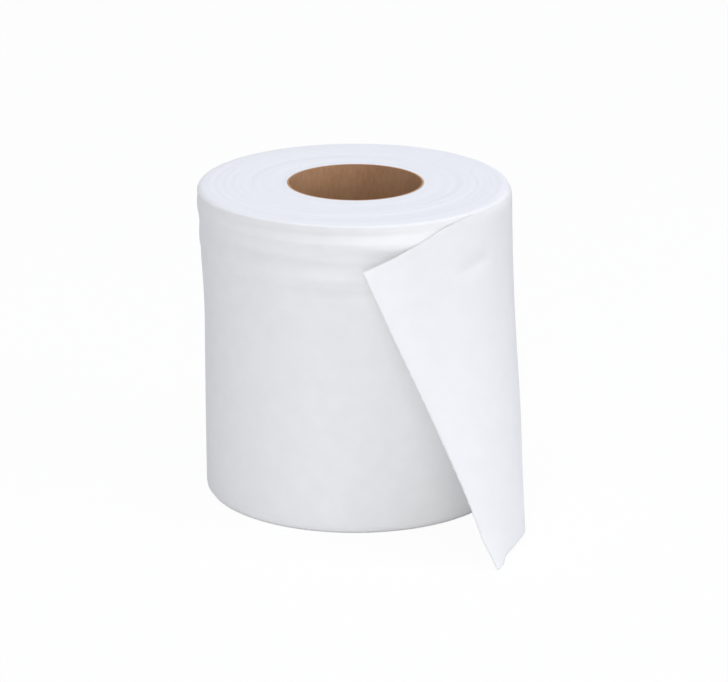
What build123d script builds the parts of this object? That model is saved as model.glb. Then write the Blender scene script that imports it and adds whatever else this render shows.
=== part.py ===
from build123d import *
import os
from math import cos, radians, sin, tan

# Toilet paper roll standing on its end, with its last sheet peeled open at the front right.
# Millimetres, +Z up. The origin is on the roll's axis, where it stands on the floor.
# The free corner of the tail points to the front, along -Y, and the tail's root is at the back right.

# Tissue web
sheet_width = 105.0
sheet_length = 109.0
sheet_thickness = 0.45

# Core tube, wound from strips of board
core_bore_radius = 22.0
core_wall = 0.6
seam_width = 0.6
seam_depth = 0.2
seam_pitch = 89.0
seam_lead = 0.625

# Outer wall of the wound roll, from the floor up: it is slack enough to flare towards its upper end
foot_radius = 50.4
foot_bevel = 1.3
waist_height = 58.0
rim_radius = 52.3

# Soft ripples that run round under the rim: depth below the end face, radius less than the rim's
ripples = ((19.0, 0.4), (14.5, 0.9), (9.0, 0.0))

# Edge of the upper end face, rolled over by handling
lip_drop = 2.2
shoulder_width = 5.0
shoulder_drop = 0.5

# Turns drawn on the two sawn end faces
turn_count = 5
turn_groove_width = 0.5
turn_groove_depth = 0.8
turn_margin = 1.8

# Tail: the last sheet. It leaves the wall round a short arc, runs straight forward, and
# bends back over the front along a line that leans forward from the rim to the floor.
tail_clearance = 0.5
tail_root_bite = 15.0
tail_root_radius = 36.0
tail_root_turn = 40.0
tail_bend_lean = 26.9
tail_bend_radius = 41.2
tail_bend_turn = 75.0

# Sizes that follow
core_outer_radius = core_bore_radius + core_wall
end_face_radius = rim_radius - shoulder_width
first_turn_radius = core_outer_radius + turn_margin
turn_pitch = (end_face_radius - first_turn_radius) / turn_count
tail_wall = rim_radius + tail_clearance + sheet_thickness / 2
tail_root_run = tail_root_radius * radians(tail_root_turn)
tail_bend_foot = sheet_width * tan(radians(tail_bend_lean))

# The tail's straight run lies in the plane x = tail_wall. The bend line starts on the floor of it.
bend_line = Vector(0, sin(radians(tail_bend_lean)), cos(radians(tail_bend_lean)))
bend_across = Vector(0, -cos(radians(tail_bend_lean)), sin(radians(tail_bend_lean)))
bend_plane = Plane(origin=(tail_wall, -tail_bend_foot, 0), x_dir=bend_across, z_dir=bend_line)


def tail_point(along, height):
    """Point of the sheet beyond the bend line, once bent: along from the root, height off the floor."""
    step = Vector(0, tail_root_run - along + tail_bend_foot, height)
    across = step.dot(bend_across)
    turn = min(across / tail_bend_radius, radians(tail_bend_turn))
    rest = across - turn * tail_bend_radius
    forward = tail_bend_radius * sin(turn) + rest * cos(turn)
    inward = tail_bend_radius * (1 - cos(turn)) + rest * sin(turn)
    return bend_plane.from_local_coords((forward, -inward, step.dot(bend_line)))


# Core: a board tube with the butt seam of its inner ply climbing the bore. The seam starts a share
# of a turn below the floor, which brings its upper end round to the front.
with BuildPart() as core:
    with BuildSketch():
        Circle(core_outer_radius)
        Circle(core_bore_radius, mode=Mode.SUBTRACT)
    extrude(amount=sheet_width)
    with BuildLine() as seam_line:
        Helix(
            pitch=seam_pitch,
            height=sheet_width + seam_pitch * (seam_lead + 0.125),
            radius=core_bore_radius,
            center=(0, 0, -seam_pitch * seam_lead),
        )
    with BuildSketch(Plane(origin=seam_line.line @ 0, x_dir=(1, 0, 0), z_dir=seam_line.line % 0)):
        Rectangle(2 * seam_depth, seam_width)
    sweep(path=seam_line.line, is_frenet=True, mode=Mode.SUBTRACT)

# Tail: the strip that bends over the leaning line, trimmed to the sheet's torn and upper edges
# and to the floor, then the flat triangle behind it and the strip round its root arc
with BuildPart() as tail:
    with BuildSketch(bend_plane):
        with BuildLine():
            bend = CenterArc(
                (0, -tail_bend_radius),
                tail_bend_radius,
                start_angle=90,
                arc_size=-tail_bend_turn,
            )
            Line(bend @ 1, bend @ 1 + (bend % 1) * sheet_length)
        trace(line_width=sheet_thickness)
    extrude(amount=2 * sheet_width, both=True)
    torn_edge = [tail_point(sheet_length, sheet_width * share) for share in (0, 1, 0.5)]
    bent_run = sheet_length - tail_root_run
    upper_edge = [tail_point(sheet_length - bent_run * share, sheet_width) for share in (0, 0.67, 0.33)]
    torn_normal = (torn_edge[1] - torn_edge[0]).cross(torn_edge[2] - torn_edge[0])
    upper_normal = (upper_edge[1] - upper_edge[0]).cross(upper_edge[2] - upper_edge[0])
    split(bisect_by=Plane(origin=torn_edge[0], z_dir=torn_normal), keep=Keep.TOP)
    split(bisect_by=Plane(origin=upper_edge[0], z_dir=upper_normal), keep=Keep.TOP)
    split(bisect_by=Plane.XY.offset(sheet_width), keep=Keep.BOTTOM)
    split(bisect_by=Plane.XY, keep=Keep.TOP)
    with BuildSketch(Plane.YZ.offset(tail_wall)):
        with BuildLine():
            Polyline((0, 0), (0, sheet_width), (-tail_bend_foot, 0), close=True)
        make_face()
    extrude(amount=sheet_thickness / 2, both=True)
    with BuildSketch():
        with BuildLine():
            CenterArc(
                (tail_wall - tail_root_radius, 0),
                tail_root_radius,
                start_angle=0,
                arc_size=tail_root_turn + tail_root_bite,
            )
        trace(line_width=sheet_thickness)
    extrude(amount=sheet_width)

# Tissue: the wound turns with the tail, all one web
with BuildPart() as tissue:
    with BuildSketch(Plane.XZ):
        with BuildLine():
            Polyline(
                (core_outer_radius, 0),
                (foot_radius - foot_bevel, 0),
                (foot_radius, foot_bevel),
                (foot_radius, waist_height),
                *[(rim_radius - inward, sheet_width - depth) for depth, inward in ripples],
                (rim_radius, sheet_width - lip_drop),
                (rim_radius - lip_drop / 2, sheet_width - shoulder_drop),
                (end_face_radius, sheet_width),
                (core_outer_radius, sheet_width),
                close=True,
            )
        make_face()
    revolve(axis=Axis.Z)

    # Line of the turns in each end face: half circles about two centres, winding out clockwise
    for height, cut in ((sheet_width, -turn_groove_depth), (0, turn_groove_depth)):
        with BuildSketch(Plane.XY.offset(height)):
            with BuildLine():
                for side in (-turn_groove_width / 2, turn_groove_width / 2):
                    for turn in range(turn_count):
                        radius = first_turn_radius + turn * turn_pitch
                        CenterArc((0, 0), radius + side, 0, -180)
                        CenterArc((turn_pitch / 2, 0), radius + turn_pitch / 2 + side, 180, -180)
                for radius in (first_turn_radius, end_face_radius):
                    Line((radius - turn_groove_width / 2, 0), (radius + turn_groove_width / 2, 0))
            make_face()
        extrude(amount=cut, mode=Mode.SUBTRACT)
    add(tail.part)

core.part.label = "core"
tissue.part.label = "tissue"

os.makedirs("parts", exist_ok=True)
export_step(core.part, "parts/core.step")
export_step(tissue.part, "parts/tissue.step")
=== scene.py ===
from math import atan2, cos, exp, hypot, pi, radians, sin, tan

import bmesh
import bpy
from mathutils import Matrix, Vector, noise


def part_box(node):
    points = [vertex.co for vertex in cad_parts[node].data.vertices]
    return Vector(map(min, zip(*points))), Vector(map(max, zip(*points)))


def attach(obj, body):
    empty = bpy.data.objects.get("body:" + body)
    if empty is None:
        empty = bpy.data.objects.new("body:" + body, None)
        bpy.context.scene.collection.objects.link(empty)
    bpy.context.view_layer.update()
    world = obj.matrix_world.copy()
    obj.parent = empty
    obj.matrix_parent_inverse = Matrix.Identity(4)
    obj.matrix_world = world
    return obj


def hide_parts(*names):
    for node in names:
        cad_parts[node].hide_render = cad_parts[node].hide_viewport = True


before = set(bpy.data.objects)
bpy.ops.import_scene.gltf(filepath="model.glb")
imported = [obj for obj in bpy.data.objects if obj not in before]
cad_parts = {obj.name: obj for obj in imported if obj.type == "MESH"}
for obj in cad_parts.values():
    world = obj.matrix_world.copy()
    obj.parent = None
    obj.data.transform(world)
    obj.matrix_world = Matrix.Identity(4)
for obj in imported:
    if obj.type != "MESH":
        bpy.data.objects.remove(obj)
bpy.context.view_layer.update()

# Toilet paper roll with its last sheet peeled open. Metres, in the frame of the CAD model:
# +Z up along the roll's axis, -Y to the front, where the sheet's free corner points.
# Angles round the roll are counted from +X, the side that the sheet comes round. Lengths along
# the loose sheet are counted from its root perforation. Shares are of the web's width, from the
# floor up. Of the four values of a span, something grows from the first to the second, is whole
# up to the third, and is gone by the fourth.

mm = 0.001
tolerance = 0.01 * mm

# Web
web_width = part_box("core")[1][2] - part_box("core")[0][2]
sheet_length = 109 * mm
sheet_thickness = 0.3 * mm

# Wall of the wound roll: its radius at heights from the floor up, and the depth of its soft dents
# and the shares between which they lie
core_outer_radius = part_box("core")[1][0]
rim_radius = 52.3 * mm
wall_knots = (
    (0 * mm, 49.3 * mm),
    (1.6 * mm, 50.35 * mm),
    (58 * mm, 50.4 * mm),
    (104 * mm, rim_radius),
)
dent_depth = 0.3 * mm
dent_shares = (0, 0.1, 0.9, 1)

# Ripples of the slack upper turns: how far they stand out or in, at heights from the floor up.
# They are whole at the front and weak and uneven round the rest: the first cosine is of the angle
# from the front where they are weak, and the second of the one where they are whole. They are
# deeper beside the upper corner of the loose sheet, and wander up and down, but not at the rim.
ripple_knots = (
    (79 * mm, 0 * mm),
    (83.5 * mm, -0.6 * mm),
    (86.5 * mm, 0.4 * mm),
    (93 * mm, -1.6 * mm),
    (98.5 * mm, 0.5 * mm),
    (101.9 * mm, -0.6 * mm),
    (104 * mm, 0 * mm),
)
ripple_front = radians(-92)
ripple_cosines = (0.35, 0.95)
weak_ripple = 0.12
weak_ripple_change = 0.3
deeper_ripple = 0.5
deeper_span = (radians(-118), radians(-98), radians(-82), radians(-64))
ripple_wander = 1.2 * mm
wander_shares = (0.93, 0.97)

# Upper end face and its edge, which is rolled over hardly at the front and more at the back. The
# cosines are of the angles from its front where it is as at the back and as at the front. The
# section is spun with a plain edge, which is then given the drop of each place.
end_face_radius = 49 * mm
plain_lip = 1 * mm
front_lip = 0.6 * mm
back_lip = 2.4 * mm
lip_front = radians(-85)
lip_cosines = (0, 0.85)
lip_power = 1.2

# Bands of loose and tight turns on the end faces: narrow ones on wide ones. They fade out towards
# the core and the edge, and on the upper face they lie a little below the web's width.
narrow_band = 2.2 * mm
narrow_relief = 0.16 * mm
wide_band = 7 * mm
wide_relief = 0.22 * mm
band_fade = 2 * mm
band_level = -0.12 * mm
upper_bands_end = 52 * mm
lower_bands_end = 49 * mm
lower_face_radius = 49.1 * mm

# Fineness of the roll's mesh
ring_step = 0.5 * mm
shoulder_steps = 8
wall_rows = 84
steps_round = 300

# The loose sheet pulls the slack turns in where it comes off the upper part of the wall: wholly
# at the first of the angles, the second of the shares and the second of the radii
pull_depth = 1.1 * mm
pull_angles = (radians(10), radians(75))
pull_shares = (0.38, 0.81)
pull_radii = (35 * mm, 50 * mm)

# Loose sheet: it comes off the wall, runs straight forward at its own distance from the roll's
# axis, and bends over the front about a line that leans forward from the rim to the floor
sheet_wall = 52.65 * mm
root_radius = 36 * mm
root_turn = radians(40)
root_run = root_radius * root_turn
bend_lean = radians(26.9)
bend_radius = 41.2 * mm
bend_turn = radians(75)
grid_step = 0.75 * mm

# At its root it lies on the turn below. Behind the perforation it runs on and sinks into the wall,
# within its first stretch there.
wrap_gap = 0.2 * mm
root_tuck = 4 * mm
sink_run = 1.8 * mm
sink_depth = 0.6 * mm

# Where it gives: the side swells towards the foot, the hem lifts and is drawn in between the side
# and the free corner, the corner turns out, and the torn edge bows in. Spans are along the sheet,
# and what the hem and the corner do fades out by the share given for each.
side_swell = 2.7 * mm
side_span = (15 * mm, 60 * mm, 70 * mm, 102 * mm)
hem_lift = 1.3 * mm
hem_lift_share = 0.25
hem_lift_span = (66 * mm, 84 * mm, 98 * mm, sheet_length)
hem_draw = 1.2 * mm
hem_draw_share = 0.35
hem_draw_span = (72 * mm, 88 * mm, 98 * mm, sheet_length)
corner_turn = 1.6 * mm
corner_share = 0.12
corner_start = 92 * mm
torn_bow = 0.5 * mm
torn_bow_start = 90 * mm

# Its upper edge is rolled over the shoulder, until it comes away between two lengths. The tissue
# gives a little along that edge, which rises round the bend and dips towards the torn edge.
edge_roll_width = 4 * mm
edge_roll_in = 1.3 * mm
edge_roll_down = 0.65 * mm
edge_leaves = (59 * mm, 67 * mm)
edge_rise = 1.2 * mm
edge_rise_span = (45 * mm, 62 * mm, 75 * mm, 92 * mm)
edge_dip = 0.7 * mm
edge_dip_run = (85 * mm, 100 * mm)
edge_give_shares = (0.6, 1)

# Soft crease near the upper edge, where the bend is tight against the shoulder: its two ends, as
# lengths along the sheet and heights, how it comes and goes between them, its half width and depth
crease_ends = (Vector((60 * mm, 90.5 * mm)), Vector((83 * mm, 90 * mm)))
crease_span = (0, 0.3, 0.7, 1)
crease_width = 2.2 * mm
crease_depth = 0.8 * mm

# Shallow waves: their size along and across the web, their depth, and the run over which they
# grow once the sheet is off the wall
wave_size = (17 * mm, 23 * mm)
wave_depth = 0.35 * mm
wave_run = (root_run, root_run + 30 * mm)

# Perforations have cuts with short ties between them. Where one is torn, stubs of the ties and
# ragged fibres stand out, drawn out of the last stretch of the sheet.
tie_pitch = 4 * mm
tie_length = 1 * mm
tie_reach = 0.2 * mm
fibre_pitch = 0.9 * mm
fibre_reach = 0.15 * mm
torn_run = 6 * mm

# Camera: a long lens, straight from the front and looking down, as the photograph was taken
camera_place = (2.86 * mm, -1141.4 * mm, 420.2 * mm)
camera_tilt = radians(17.98)
camera_lens = 177.2
sensor_width = 36
view_depth = 20

# Soft boxes, all of one width: place, power and colour of each
soft_box_width = 1.4
soft_boxes = {
    "overhead": ((0, -0.2, 2.2), 23.3, "#F7F9FF"),
    "right": ((1.9, -0.7, 0.9), 13.8, "#F7FAFF"),
    "front_low": ((-0.05, -1.95, 0.3), 15, "#FFFDFA"),
}

# White studio: the light from all round, and the floor, which the camera sees as mostly glowing,
# so that it shows white
studio_light = 0.4
studio_colour = "#F4F7FF"
floor_reach = 3
floor_drop = 0.1 * mm
floor_glow = 0.94
floor_colour = "#F2F2F2"


def linear(hex_colour):
    """sRGB hex, such as #E3E3E3, as linear RGBA."""
    parts = [int(hex_colour[i:i + 2], 16) / 255 for i in (1, 3, 5)]
    return (*[p / 12.92 if p <= 0.04045 else ((p + 0.055) / 1.055) ** 2.4 for p in parts], 1)


def smooth(low, high, value):
    """0 at low, 1 at high, and a soft step between."""
    t = min(max((value - low) / (high - low), 0), 1)
    return t * t * (3 - 2 * t)


def within(span, value):
    """1 in the middle of a span of four values, 0 outside it, and a soft step at each end."""
    return smooth(span[0], span[1], value) * (1 - smooth(span[2], span[3], value))


def add_node(tree, kind, settings=None, inputs=None):
    """Adds a node and sets its properties and sockets. A socket given as a value is linked."""
    node = tree.nodes.new(kind)
    for name, value in (settings or {}).items():
        setattr(node, name, value)
    for name, value in (inputs or {}).items():
        if isinstance(value, bpy.types.NodeSocket):
            tree.links.new(value, node.inputs[name])
        else:
            node.inputs[name].default_value = value
    return node


def new_material(name):
    """Empty node material and its tree."""
    material = bpy.data.materials.new(name)
    material.use_nodes = True
    material.node_tree.nodes.clear()
    return material, material.node_tree


def make_object(name, fill):
    """Smooth-shaded object from a function that fills a bmesh."""
    bm = bmesh.new()
    fill(bm)
    bmesh.ops.recalc_face_normals(bm, faces=bm.faces[:])
    for face in bm.faces:
        face.smooth = True
    mesh = bpy.data.meshes.new(name)
    bm.to_mesh(mesh)
    bm.free()
    obj = bpy.data.objects.new(name, mesh)
    bpy.context.scene.collection.objects.link(obj)
    return obj


# Materials. A Mix node takes its share in socket 0, two numbers in sockets 2 and 3, and two
# colours in sockets 6 and 7.

def perforation(tree, place, turn):
    """1 in the cuts of a perforation, 0 elsewhere. The turn brings its line onto the plane Y = 0,
    on the side where X is above 0, and along Z."""
    # cuts are really 0.1 mm wide, drawn at 0.3 mm so that they show
    cut_width = 0.3 * mm
    turned = add_node(tree, "ShaderNodeMapping", {}, {"Vector": place, **turn})
    line = add_node(tree, "ShaderNodeSeparateXYZ", {}, {"Vector": turned.outputs[0]})
    beside = add_node(tree, "ShaderNodeMath", {"operation": "ABSOLUTE"}, {0: line.outputs["Y"]})
    on_line = add_node(
        tree, "ShaderNodeMath", {"operation": "LESS_THAN"},
        {0: beside.outputs[0], 1: cut_width / 2},
    )
    this_side = add_node(
        tree, "ShaderNodeMath", {"operation": "GREATER_THAN"}, {0: line.outputs["X"], 1: 0}
    )
    along = add_node(
        tree, "ShaderNodeMath", {"operation": "MODULO"}, {0: line.outputs["Z"], 1: tie_pitch}
    )
    off_tie = add_node(
        tree, "ShaderNodeMath", {"operation": "GREATER_THAN"}, {0: along.outputs[0], 1: tie_length}
    )
    on_side = add_node(
        tree, "ShaderNodeMath", {"operation": "MULTIPLY"},
        {0: on_line.outputs[0], 1: this_side.outputs[0]},
    )
    cut = add_node(
        tree, "ShaderNodeMath", {"operation": "MULTIPLY"},
        {0: on_side.outputs[0], 1: off_tie.outputs[0]},
    )
    return cut.outputs[0]


def sawn_turns(tree, place, colour, height):
    """Colour and height where the wound web was sawn across: the edges of its turns as a fine
    spiral, in bands of loose and tight turns. Elsewhere both stay as they come."""
    # turns are really about 0.2 mm apart, drawn at 0.8 mm so that they show
    turn_pitch = 0.8 * mm
    wobble_size = 16 * mm
    band_width = 2.4 * mm
    # height of the bands beside that of the turns
    band_height = 1.5
    apart = add_node(tree, "ShaderNodeSeparateXYZ", {}, {"Vector": place})
    flat = add_node(
        tree, "ShaderNodeCombineXYZ", {}, {"X": apart.outputs["X"], "Y": apart.outputs["Y"]}
    )
    radius = add_node(
        tree, "ShaderNodeVectorMath", {"operation": "LENGTH"}, {0: flat.outputs[0]}
    ).outputs["Value"]
    angle = add_node(
        tree, "ShaderNodeMath", {"operation": "ARCTAN2"},
        {0: apart.outputs["Y"], 1: apart.outputs["X"]},
    )
    wobble = add_node(
        tree, "ShaderNodeTexNoise", {}, {"Vector": place, "Scale": 1 / wobble_size, "Detail": 2}
    )
    turns = add_node(
        tree, "ShaderNodeMath", {"operation": "MULTIPLY_ADD"},
        {0: radius, 1: 1 / turn_pitch, 2: wobble.outputs[0]},
    )
    winding = add_node(
        tree, "ShaderNodeMath", {"operation": "MULTIPLY_ADD"},
        {0: angle.outputs[0], 1: 1 / (2 * pi), 2: turns.outputs[0]},
    )
    edge = add_node(
        tree, "ShaderNodeMath", {"operation": "PINGPONG"}, {0: winding.outputs[0], 1: 0.5}
    )
    ring = add_node(tree, "ShaderNodeCombineXYZ", {}, {"X": radius})
    band = add_node(
        tree, "ShaderNodeTexNoise", {},
        {"Vector": ring.outputs[0], "Scale": 1 / band_width, "Detail": 3, "Roughness": 0.7},
    )
    facing = add_node(tree, "ShaderNodeNewGeometry").outputs["True Normal"]
    upright = add_node(tree, "ShaderNodeSeparateXYZ", {}, {"Vector": facing})
    level = add_node(tree, "ShaderNodeMath", {"operation": "ABSOLUTE"}, {0: upright.outputs["Z"]})
    on_end = add_node(
        tree, "ShaderNodeMapRange", {"interpolation_type": "SMOOTHSTEP"},
        {"Value": level.outputs[0], "From Min": 0.55, "From Max": 0.9},
    )
    end_tint = add_node(
        tree, "ShaderNodeMix", {"data_type": "RGBA"},
        {0: band.outputs[0], 6: linear("#E8E9EC"), 7: linear("#F6F6F8")},
    )
    either_tint = add_node(
        tree, "ShaderNodeMix", {"data_type": "RGBA"},
        {0: on_end.outputs[0], 6: colour, 7: end_tint.outputs[2]},
    )
    end_height = add_node(
        tree, "ShaderNodeMath", {"operation": "MULTIPLY_ADD"},
        {0: band.outputs[0], 1: band_height, 2: edge.outputs[0]},
    )
    either_height = add_node(
        tree, "ShaderNodeMix", {"data_type": "FLOAT"},
        {0: on_end.outputs[0], 2: height, 3: end_height.outputs[0]},
    )
    return either_tint.outputs[2], either_height.outputs[0]


def creped_tissue(name, coordinates, tints, across_web, perforation_turn, wound):
    """Bath tissue, dry-creped and uncoated: matt and soft, with fine crepe lines across the web and
    a faint cloudiness. Where it is wound and sawn, the edges of the turns show as a fine spiral.
    The loose sheet lets some of the light through."""
    # crepe lines are really about 0.2 mm apart, drawn at 0.5 mm so that they show
    crepe_pitch = 0.5 * mm
    # clouds of denser and thinner fibres
    cloud_size = 6 * mm
    # the cuts of the perforations are painted a darker grey: painted shade, for the shadow in the
    # slits
    painted_cut_shade = linear("#DCDDE0")
    light_through = 0.4
    material, tree = new_material(name)
    place = add_node(tree, "ShaderNodeTexCoord").outputs[coordinates]
    crepe_place = add_node(tree, "ShaderNodeMapping", {}, {"Vector": place, "Scale": across_web})
    crepe = add_node(
        tree, "ShaderNodeTexNoise", {},
        {"Vector": crepe_place.outputs[0], "Scale": 1 / crepe_pitch, "Detail": 3, "Roughness": 0.6},
    )
    cloud = add_node(
        tree, "ShaderNodeTexNoise", {},
        {"Vector": place, "Scale": 1 / cloud_size, "Detail": 4, "Roughness": 0.55},
    )
    tint = add_node(
        tree, "ShaderNodeMix", {"data_type": "RGBA"},
        {0: cloud.outputs[0], 6: linear(tints[0]), 7: linear(tints[1])},
    )
    cut = perforation(tree, place, perforation_turn)
    # painted shade in the cuts of the perforation
    pricked = add_node(
        tree, "ShaderNodeMix", {"data_type": "RGBA"},
        {0: cut, 6: tint.outputs[2], 7: painted_cut_shade},
    )
    colour = pricked.outputs[2]
    height = crepe.outputs[0]
    if wound:
        colour, height = sawn_turns(tree, place, colour, height)
    rough = add_node(
        tree, "ShaderNodeBump", {}, {"Strength": 0.3, "Distance": 0.1 * mm, "Height": height}
    )
    soft = add_node(
        tree, "ShaderNodeBump", {},
        {
            "Strength": 0.5,
            "Distance": 0.15 * mm,
            "Height": cloud.outputs[0],
            "Normal": rough.outputs[0],
        },
    )
    surface = add_node(
        tree, "ShaderNodeBsdfPrincipled", {},
        {
            "Base Color": colour,
            "Roughness": 0.95,
            "Specular IOR Level": 0.2,
            "Sheen Weight": 0.1,
            "Sheen Roughness": 0.6,
            "Normal": soft.outputs[0],
        },
    )
    if not wound:
        through = add_node(
            tree, "ShaderNodeBsdfTranslucent", {}, {"Color": colour, "Normal": soft.outputs[0]}
        )
        surface = add_node(
            tree, "ShaderNodeMixShader", {},
            {0: light_through, 1: surface.outputs[0], 2: through.outputs[0]},
        )
    add_node(tree, "ShaderNodeOutputMaterial", {}, {"Surface": surface.outputs[0]})
    return material


def core_board():
    """Recycled kraft board, pressed and uncoated: brown-grey and matt, with longer fibres that make
    fine flecks from 1 mm down, and faint patches."""
    fibre_size = 1.1 * mm
    patch_size = 11 * mm
    material, tree = new_material("recycled_kraft_board")
    place = add_node(tree, "ShaderNodeTexCoord").outputs["Object"]
    fibre_place = add_node(
        tree, "ShaderNodeMapping", {}, {"Vector": place, "Scale": (1, 1, 0.35)}
    )
    fibre = add_node(
        tree, "ShaderNodeTexNoise", {},
        {"Vector": fibre_place.outputs[0], "Scale": 1 / fibre_size, "Detail": 5, "Roughness": 0.7},
    )
    patch = add_node(
        tree, "ShaderNodeTexNoise", {}, {"Vector": place, "Scale": 1 / patch_size, "Detail": 2}
    )
    fleck = add_node(
        tree, "ShaderNodeMix", {"data_type": "RGBA"},
        {0: fibre.outputs[0], 6: linear("#B18967"), 7: linear("#DCB38F")},
    )
    colour = add_node(
        tree, "ShaderNodeMix", {"data_type": "RGBA", "blend_type": "MULTIPLY"},
        {0: patch.outputs[0], 6: fleck.outputs[2], 7: linear("#DED3C8")},
    )
    bump = add_node(
        tree, "ShaderNodeBump", {},
        {"Strength": 0.4, "Distance": 0.1 * mm, "Height": fibre.outputs[0]},
    )
    surface = add_node(
        tree, "ShaderNodeBsdfPrincipled", {},
        {
            "Base Color": colour.outputs[2],
            "Roughness": 0.9,
            "Specular IOR Level": 0.25,
            "Normal": bump.outputs[0],
        },
    )
    add_node(tree, "ShaderNodeOutputMaterial", {}, {"Surface": surface.outputs[0]})
    return material


# Wound roll. Each noise is read at its own scale and place, so that none follows another.

def curve_through(knots, at):
    """Value on a soft curve that is level at each knot."""
    if at <= knots[0][0]:
        return knots[0][1]
    for (low, start), (high, end) in zip(knots, knots[1:]):
        if at <= high:
            return start + (end - start) * smooth(low, high, at)
    return knots[-1][1]


def wall_radius(height, angle):
    """Radius of the wall: the turned form, the ripples under the rim, and soft dents."""
    share = height / web_width
    around = Vector((cos(angle), sin(angle), 0))
    front = smooth(*ripple_cosines, cos(angle - ripple_front))
    weak = weak_ripple + weak_ripple_change * noise.noise(around * 1.3 + Vector((5, 0, 0)))
    strength = front + (1 - front) * weak
    strength *= 1 + deeper_ripple * within(deeper_span, angle)
    wander = ripple_wander * noise.noise(around * 1.7 + Vector((0, 9, 0)))
    wander *= 1 - smooth(*wander_shares, share)
    ripple = strength * curve_through(ripple_knots, height + wander)
    dents = dent_depth * noise.noise(around * 2.1 + Vector((0, 0, share * 2.2)))
    return curve_through(wall_knots, height) + ripple + dents * within(dent_shares, share)


def pulled_in(point):
    """The point moved towards the axis where the loose sheet pulls the slack turns in."""
    radius = hypot(point.x, point.y)
    angle = abs(atan2(point.y, point.x))
    pull = pull_depth * (1 - smooth(*pull_angles, angle))
    pull *= smooth(*pull_shares, point.z / web_width) * smooth(*pull_radii, radius)
    share = 1 - pull / radius
    return Vector((point.x * share, point.y * share, point.z))


def ring_height(radius, angle):
    """How far the edges of the turns stand proud of the end face: bands that change slowly round
    the roll."""
    around = Vector((cos(angle), sin(angle), 0)) * 0.35
    narrow = noise.noise(Vector((radius / narrow_band, 0, 0)) + around)
    wide = noise.noise(Vector((radius / wide_band, 4.2, 0)) + around)
    return narrow_relief * narrow + wide_relief * wide


def lip(angle):
    """How far the edge of the upper end face is rolled over."""
    return back_lip + (front_lip - back_lip) * smooth(*lip_cosines, cos(angle - lip_front))


def plain_section():
    """Section of the roll, as radius and height: out over the upper end face and its plain edge,
    down an upright wall, and back in below."""
    face_width = end_face_radius - core_outer_radius
    steps = round(face_width / ring_step)
    section = [(core_outer_radius + face_width * i / steps, web_width) for i in range(steps + 1)]
    for i in range(1, shoulder_steps + 1):
        turn = radians(90) * i / shoulder_steps
        out = end_face_radius + (rim_radius - end_face_radius) * sin(turn)
        section.append((out, web_width - plain_lip * (1 - cos(turn)) ** lip_power))
    for i in range(1, wall_rows + 1):
        section.append((rim_radius, (web_width - plain_lip) * (1 - i / wall_rows)))
    for i in range(1, steps + 1):
        inward = (core_outer_radius - lower_face_radius) * i / steps
        section.append((lower_face_radius + inward, 0))
    return section


def uneven_point(radius, height, angle):
    """Place on the real roll of a point of the plain one: on the lower end face, on the upper one
    and its edge, or on the wall."""
    off_core = smooth(core_outer_radius, core_outer_radius + band_fade, radius)
    if height < tolerance and radius < rim_radius - tolerance:
        fade = off_core * (1 - smooth(lower_bands_end - band_fade, lower_bands_end, radius))
        height += abs(ring_height(radius, angle)) * fade
    elif height > web_width - plain_lip + tolerance:
        fade = off_core * (1 - smooth(upper_bands_end - band_fade, upper_bands_end, radius))
        height = web_width - (web_width - height) * lip(angle) / plain_lip
        height += (ring_height(radius, angle) + band_level) * fade
    else:
        height *= (web_width - lip(angle)) / (web_width - plain_lip)
        radius = wall_radius(height, angle)
    return pulled_in(Vector((radius * cos(angle), radius * sin(angle), height)))


def fill_roll(bm):
    """The plain section, spun round the roll's axis and then made uneven."""
    corners = [bm.verts.new((radius, 0, height)) for radius, height in plain_section()]
    for first, second in zip(corners, corners[1:] + corners[:1]):
        bm.edges.new((first, second))
    bmesh.ops.spin(
        bm,
        geom=bm.verts[:] + bm.edges[:],
        cent=(0, 0, 0),
        axis=(0, 0, 1),
        angle=2 * pi,
        steps=steps_round,
        use_merge=True,
        use_duplicate=False,
    )
    for corner in bm.verts:
        x, y, height = corner.co
        corner.co = uneven_point(hypot(x, y), height, atan2(y, x))


# Loose sheet

bend_foot = web_width * tan(bend_lean)
bend_line = Vector((0, sin(bend_lean), cos(bend_lean)))
bend_across = Vector((0, -cos(bend_lean), sin(bend_lean)))


def wrapped_point(along, height):
    """On the wall: the sheet lies on the turn below, tucked into it at its hidden end, and starts
    to come off."""
    angle = (root_run - along) / sheet_wall
    wall = wall_radius(max(height, wall_knots[1][0]), angle) + wrap_gap
    radius = wall + (sheet_wall - wall) * smooth(0, root_run, along)
    radius -= sink_depth * (1 - smooth(-sink_run, 0, along))
    return Vector((radius * cos(angle), radius * sin(angle), height))


def bent_point(along, height):
    """Off the wall: straight forward up to the leaning line, round it, and straight on."""
    give = edge_rise * within(edge_rise_span, along) - edge_dip * smooth(*edge_dip_run, along)
    give *= smooth(*edge_give_shares, height / web_width)
    step = Vector((0, root_run - along + bend_foot, height + give))
    across = step.dot(bend_across)
    turn = min(max(across / bend_radius, 0), bend_turn)
    rest = across - turn * bend_radius
    forward = bend_radius * sin(turn) + rest * cos(turn)
    inward = bend_radius * (1 - cos(turn)) + rest * sin(turn)
    foot = Vector((sheet_wall - inward, -bend_foot, 0))
    return foot + bend_across * forward + bend_line * step.dot(bend_line)


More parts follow.
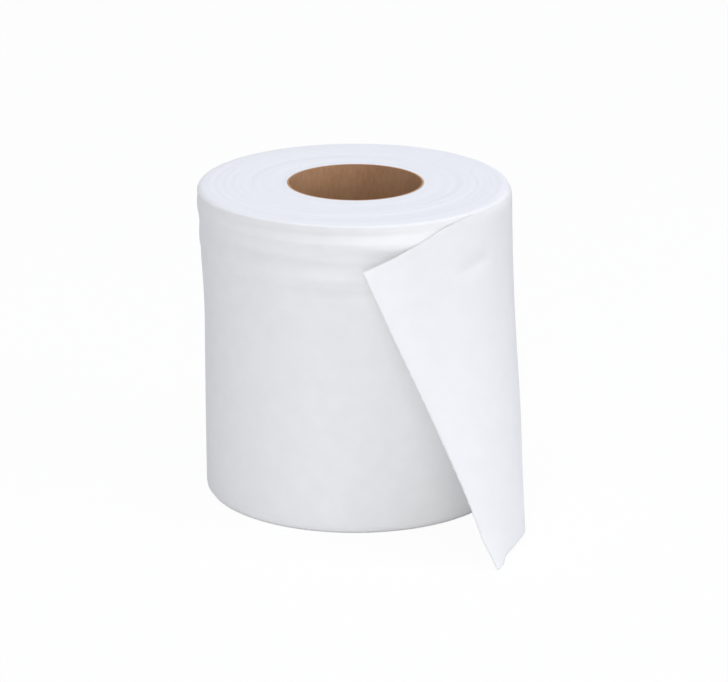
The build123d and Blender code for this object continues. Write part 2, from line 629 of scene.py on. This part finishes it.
def sheet_point(along, height):
    """Place of a point of the flat sheet once it is bent: along from the root, height from its
    lower edge."""
    share = height / web_width
    point = wrapped_point(along, height) if along < root_run else bent_point(along, height)

    swell = side_swell * (1 - share) ** 2 * within(side_span, along)
    draw = hem_draw * (1 - smooth(0, hem_draw_share, share)) * within(hem_draw_span, along)
    lift = hem_lift * (1 - smooth(0, hem_lift_share, share)) * within(hem_lift_span, along)
    corner = 1 - smooth(0, corner_share, share)
    corner *= corner_turn * smooth(corner_start, sheet_length, along)
    bow = torn_bow * sin(pi * share) * smooth(torn_bow_start, sheet_length, along)
    point.x += swell + corner - draw - bow
    point.z += lift

    rolled = max(height - web_width + edge_roll_width, 0) / edge_roll_width
    rolled *= rolled * (1 - smooth(*edge_leaves, along))
    inward = 1 - edge_roll_in * rolled / hypot(point.x, point.y)
    point.x *= inward
    point.y *= inward
    point.z -= edge_roll_down * rolled
    return pulled_in(point)


def torn_edge(height):
    """How far the torn perforation runs out."""
    tie = max(0, cos(2 * pi * height / tie_pitch)) ** 6
    fibre = noise.noise(Vector((height / fibre_pitch, 7.1, 0)))
    return tie_reach * tie + fibre_reach * fibre


def crease(along, height):
    """Depth of the soft crease at a point of the flat sheet."""
    start, end = crease_ends
    run = end - start
    step = Vector((along, height)) - start
    share = step.dot(run) / run.length_squared
    beside = (step - run * share).length / crease_width
    return crease_depth * exp(-beside * beside) * within(crease_span, share)


def wave(along, height):
    """Height of the shallow waves at a point of the flat sheet."""
    place = Vector((along / wave_size[0], height / wave_size[1], 3.3))
    return wave_depth * noise.noise(place) * smooth(*wave_run, along)


def fill_sheet(bm):
    """Flat grid of the sheet's real size, with its lengths kept as a UV map, then bent and made
    soft."""
    total = sheet_length + root_tuck
    columns = round(total / grid_step)
    rows = round(web_width / grid_step)
    bmesh.ops.create_grid(bm, x_segments=columns, y_segments=rows, size=0.5)
    for corner in bm.verts:
        along = (corner.co.x + 0.5) * total - root_tuck
        corner.co = Vector((along, (corner.co.y + 0.5) * web_width, 0))
    lengths = bm.loops.layers.uv.new("sheet")
    for face in bm.faces:
        for loop in face.loops:
            loop[lengths].uv = (loop.vert.co.x, loop.vert.co.y)
    reliefs = []
    for corner in bm.verts:
        along, height, _ = corner.co
        reliefs.append(wave(along, height) + crease(along, height))
        torn = torn_edge(height) * smooth(sheet_length - torn_run, sheet_length, along)
        corner.co = sheet_point(along + torn, height)
    bm.normal_update()
    for corner, relief in zip(bm.verts, reliefs):
        corner.co += corner.normal * relief
        corner.co.z = max(corner.co.z, sheet_thickness / 2)


# Camera and light

def add_camera():
    """Camera at the photograph's place and angle."""
    camera = bpy.data.cameras.new("camera")
    camera.sensor_width = sensor_width
    camera.sensor_fit = "HORIZONTAL"
    camera.lens = camera_lens
    camera.clip_end = view_depth
    obj = bpy.data.objects.new("camera", camera)
    obj.location = camera_place
    obj.rotation_euler = (radians(90) - camera_tilt, 0, 0)
    bpy.context.scene.collection.objects.link(obj)
    bpy.context.scene.camera = obj


def add_soft_box(name, place, power, colour):
    """Square soft box aimed at the middle of the roll."""
    lamp = bpy.data.lights.new(name, "AREA")
    lamp.shape = "SQUARE"
    lamp.size = soft_box_width
    lamp.energy = power
    lamp.color = linear(colour)[:3]
    obj = bpy.data.objects.new(name, lamp)
    obj.location = place
    aim = Vector((0, 0, web_width / 2)) - obj.location
    obj.rotation_euler = aim.to_track_quat("-Z", "Y").to_euler()
    bpy.context.scene.collection.objects.link(obj)


def white_for_camera(tree, seen, lit):
    """Mix of what the camera, gloss and glass see, and what lights the object."""
    path = add_node(tree, "ShaderNodeLightPath")
    glossy = add_node(
        tree, "ShaderNodeMath", {"operation": "MAXIMUM"},
        {0: path.outputs["Is Camera Ray"], 1: path.outputs["Is Glossy Ray"]},
    )
    every = add_node(
        tree, "ShaderNodeMath", {"operation": "MAXIMUM"},
        {0: glossy.outputs[0], 1: path.outputs["Is Transmission Ray"]},
    )
    return add_node(tree, "ShaderNodeMixShader", {}, {0: every.outputs[0], 1: lit, 2: seen})


def add_world():
    """White studio: even light from all round, and plain white where the camera sees it."""
    world = bpy.data.worlds.new("white_studio")
    world.use_nodes = True
    tree = world.node_tree
    tree.nodes.clear()
    seen = add_node(tree, "ShaderNodeBackground", {}, {"Color": (1, 1, 1, 1), "Strength": 1})
    lit = add_node(
        tree, "ShaderNodeBackground", {}, {"Color": linear(studio_colour), "Strength": studio_light}
    )
    mix = white_for_camera(tree, seen.outputs[0], lit.outputs[0])
    add_node(tree, "ShaderNodeOutputWorld", {}, {"Surface": mix.outputs[0]})
    bpy.context.scene.world = world


def add_floor():
    """White paper sweep: it shows as white, and keeps a little of the roll's shadow."""
    bm = bmesh.new()
    bmesh.ops.create_grid(bm, x_segments=1, y_segments=1, size=floor_reach)
    mesh = bpy.data.meshes.new("floor")
    bm.to_mesh(mesh)
    bm.free()
    mesh.transform(Matrix.Translation((0, 0, -floor_drop)))
    obj = bpy.data.objects.new("floor", mesh)
    bpy.context.scene.collection.objects.link(obj)
    material, tree = new_material("white_paper_sweep")
    matt = add_node(tree, "ShaderNodeBsdfDiffuse", {}, {"Color": linear(floor_colour)})
    glow = add_node(tree, "ShaderNodeEmission", {}, {"Color": (1, 1, 1, 1), "Strength": 1})
    seen = add_node(
        tree, "ShaderNodeMixShader", {}, {0: floor_glow, 1: matt.outputs[0], 2: glow.outputs[0]}
    )
    mix = white_for_camera(tree, seen.outputs[0], matt.outputs[0])
    add_node(tree, "ShaderNodeOutputMaterial", {}, {"Surface": mix.outputs[0]})
    mesh.materials.append(material)


bpy.context.scene.view_settings.view_transform = "Standard"
add_camera()
add_world()
add_floor()
for name, (place, power, colour) in soft_boxes.items():
    add_soft_box(name, place, power, colour)

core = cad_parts["core"]
core.data.materials.clear()
core.data.materials.append(core_board())

# the next perforation is one sheet further back round the wall than the loose sheet's root
next_perforation = (root_run + sheet_length) / sheet_wall
roll = make_object("wound_roll", fill_roll)
roll.data.materials.append(
    creped_tissue(
        "creped_tissue_wound_and_log_sawn",
        "Object",
        tints=("#EBEBEB", "#F3F3F3"),
        across_web=(1, 1, 0.12),
        perforation_turn={"Rotation": (0, 0, -next_perforation)},
        wound=True,
    )
)
sheet = make_object("loose_sheet", fill_sheet)
sheet.data.materials.append(
    creped_tissue(
        "creped_tissue_two_ply_sheet",
        "UV",
        tints=("#F5F5F6", "#FAFAFB"),
        across_web=(1, 0.12, 1),
        perforation_turn={"Location": (1, 0, 0), "Rotation": (radians(90), 0, radians(90))},
        wound=False,
    )
)
thick = sheet.modifiers.new("two plies", "SOLIDIFY")
thick.thickness = sheet_thickness
thick.offset = 0

for piece in (roll, sheet):
    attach(piece, "root")
    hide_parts("tissue")
